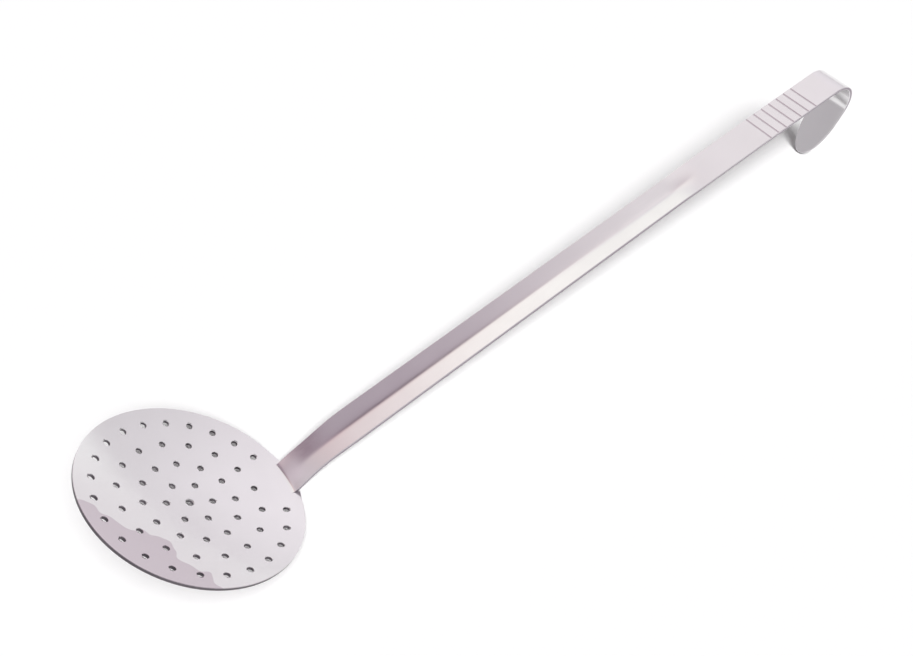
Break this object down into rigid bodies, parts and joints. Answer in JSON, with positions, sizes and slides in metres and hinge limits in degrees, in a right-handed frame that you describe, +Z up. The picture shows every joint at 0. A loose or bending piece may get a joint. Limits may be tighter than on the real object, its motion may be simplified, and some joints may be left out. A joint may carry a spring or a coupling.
{
  "type": "skimmer",
  "caption": "Kitchen skimmer pressed from one steel sheet: shallow round dish with rings of drain holes, long channelled strip handle and a hanging hook at its end.",
  "frame": {"origin": "centre of the footprint, on the surface that the skimmer lies on", "axes": "+X from the dish along the handle to the hook, +Z up with the dish's hollow side up, as it lies on its back"},
  "size_m": [0.5091, 0.12, 0.0831],
  "materials": {
    "steel": "satin polished stainless steel"
  },
  "bodies": {
    "root": {"skimmer": "steel"}
  },
  "joints": []
}
